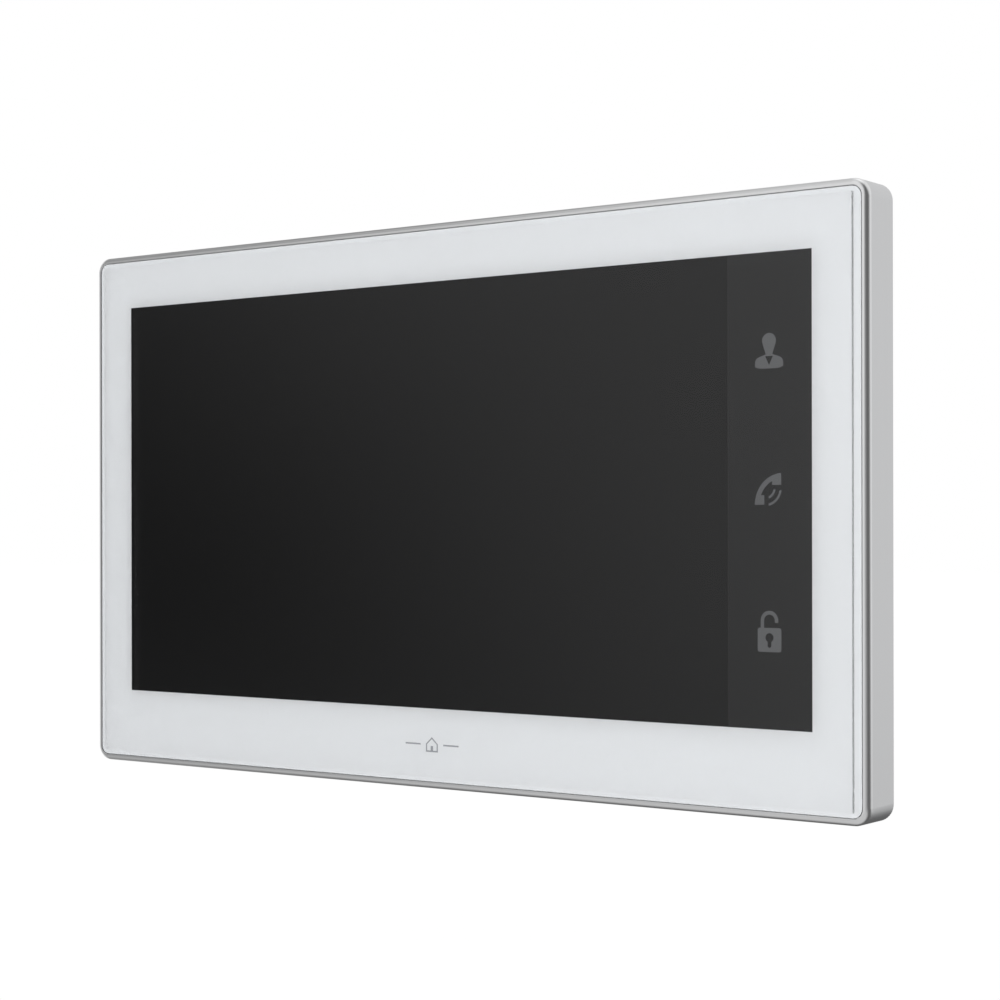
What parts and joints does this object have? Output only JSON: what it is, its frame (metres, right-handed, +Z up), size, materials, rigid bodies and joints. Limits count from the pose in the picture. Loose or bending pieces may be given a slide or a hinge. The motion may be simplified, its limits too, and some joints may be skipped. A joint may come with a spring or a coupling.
{
  "type": "video door intercom monitor",
  "caption": "Slim wall monitor for a door entry intercom: silver frame, white-bordered glass, display, touch keys, hook-on steel bracket.",
  "frame": {"origin": "centre of the frame's outline projected on the wall plane, which is also the centre of the bracket's screw pattern", "axes": "+X to the viewer's right, +Y into the wall, +Z up; the glass faces -Y"},
  "size_m": [0.2804, 0.024, 0.1662],
  "materials": {
    "satin_silver": "satin anodised wall with a polished rounded front edge",
    "cover_glass": "clear, polished",
    "white_print": "white print on the back of the glass",
    "smoked_print": "smoked translucent print",
    "icon_print": "unlit light-passing print",
    "mark_print": "grey print",
    "black_foam": "foam tape",
    "lcd_glass": "dark polariser over glass",
    "light_guide": "clear acrylic with white films",
    "tin_sheet": "plain sheet",
    "screw_steel": "nickel plated",
    "milky_sheet": "milky",
    "board_green": "solder resist",
    "led_white": "moulded",
    "chip_black": "moulded epoxy",
    "film_amber": "polyimide film",
    "film_white": "flat cable film",
    "socket_cream": "moulded",
    "can_metal": "drawn can",
    "terminal_green": "moulded",
    "card_black": "moulded",
    "knob_white": "moulded",
    "wire_red": "wire insulation",
    "wire_black": "wire insulation",
    "black_rubber": "moulded",
    "dark_plastic": "moulded",
    "paper_cone": "treated paper",
    "magnet_steel": "zinc plated",
    "cover_white": "fine-textured ABS",
    "bracket_zinc": "zinc plated sheet"
  },
  "bodies": {
    "bracket": {"wall_bracket": "bracket_zinc"},
    "monitor": {"front_frame": "satin_silver", "front_glass": "cover_glass", "border_print": "white_print", "strip_print": "smoked_print", "touch_icons": "icon_print", "front_mark": "mark_print", "glass_tape": "black_foam", "lcd_gasket": "black_foam", "lcd_cell": "lcd_glass", "lcd_light_guide": "light_guide", "lcd_tray": "tin_sheet", "lcd_straps": "tin_sheet", "strap_screws": "screw_steel", "touch_diffuser": "milky_sheet", "touch_board": "board_green", "touch_leds": "led_white", "touch_chip": "chip_black", "touch_ribbon": "film_white", "lcd_ribbon": "film_amber", "ribbon_sockets": "socket_cream", "main_board": "board_green", "board_chips": "chip_black", "shield_can": "can_metal", "processor": "chip_black", "capacitors": "can_metal", "coils": "chip_black", "door_connectors": "socket_cream", "power_terminal": "terminal_green", "terminal_screws": "screw_steel", "card_socket": "can_metal", "switch_body": "dark_plastic", "microphone": "can_metal", "mic_boot": "black_rubber", "mic_leads": "wire_red", "speaker_gasket": "black_foam", "speaker_basket": "dark_plastic", "speaker_cone": "paper_cone", "speaker_magnet": "magnet_steel", "speaker_leads": "wire_black", "rear_cover": "cover_white", "case_screws": "screw_steel", "board_screws": "screw_steel", "rear_pads": "black_rubber"},
    "card": {"memory_card": "card_black"},
    "switch": {"switch_slider": "knob_white"}
  },
  "joints": [
    {"name": "monitor_lift", "type": "slide", "parent": "bracket", "child": "monitor", "axis": [0, 0, 1], "range_m": [0, 0.007]},
    {"name": "memory_card_slide", "type": "slide", "parent": "monitor", "child": "card", "axis": [-1, 0, 0], "range_m": [0, 0.012]},
    {"name": "power_switch_slide", "type": "slide", "parent": "monitor", "child": "switch", "axis": [0, 0, 1], "range_m": [0, 0.002]}
  ]
}
